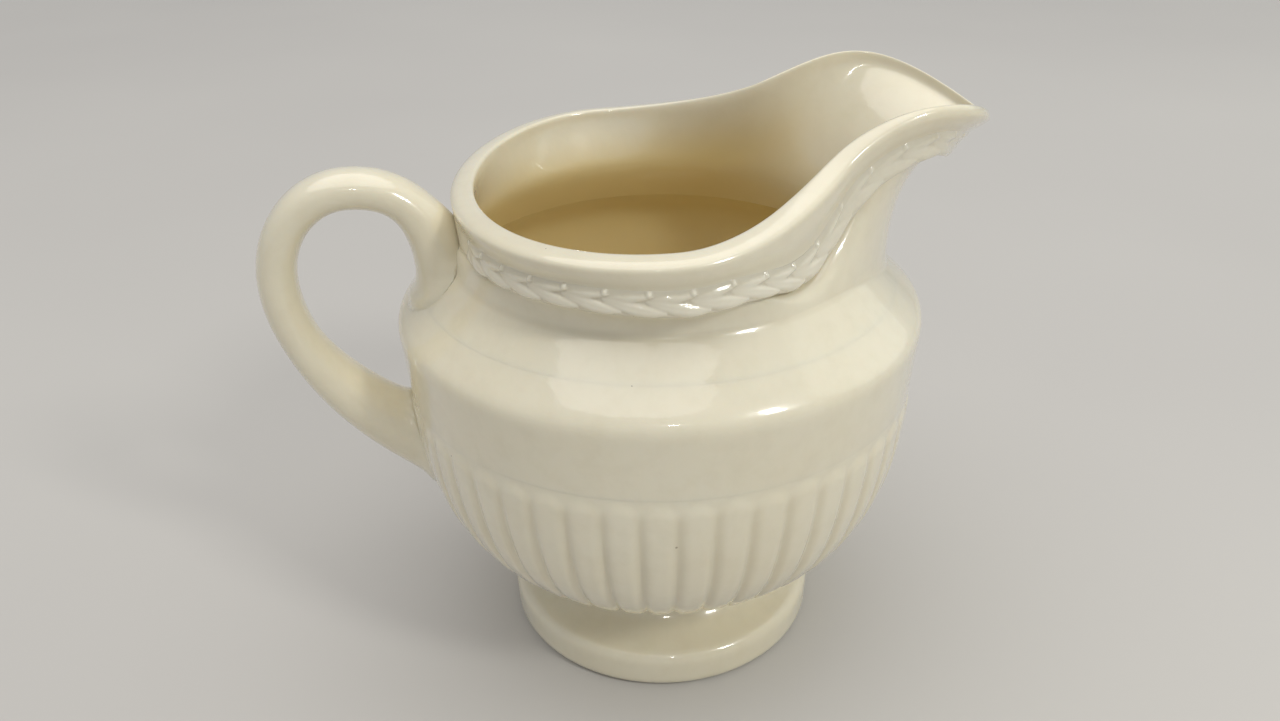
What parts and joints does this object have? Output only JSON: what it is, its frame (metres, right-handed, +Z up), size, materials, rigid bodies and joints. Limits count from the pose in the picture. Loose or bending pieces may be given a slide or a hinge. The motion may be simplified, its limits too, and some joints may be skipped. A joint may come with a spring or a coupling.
{
  "type": "cream jug",
  "caption": "Small porcelain pouring jug with a ribbed bowl on a pedestal foot, a broad pointed spout with a leaf border under the lip, and a loop handle.",
  "frame": {"origin": "centre of the foot's resting face", "axes": "+Z up through the centre of foot and bowl, +X towards the spout, handle at -X, the jug symmetric about the XZ plane"},
  "size_m": [0.1237, 0.09, 0.1005],
  "materials": {
    "glaze": "glossy ivory glaze over white ware",
    "relief": "glossy ivory glaze, pooled darker in the hollows of the relief",
    "clay": "fired slip under the glaze"
  },
  "bodies": {
    "root": {"foot": "glaze", "foot_slip": "clay", "bowl": "glaze", "shoulder": "glaze", "neck_and_spout": "glaze", "laurel_left": "relief", "laurel_right": "relief", "handle": "glaze"}
  },
  "joints": []
}
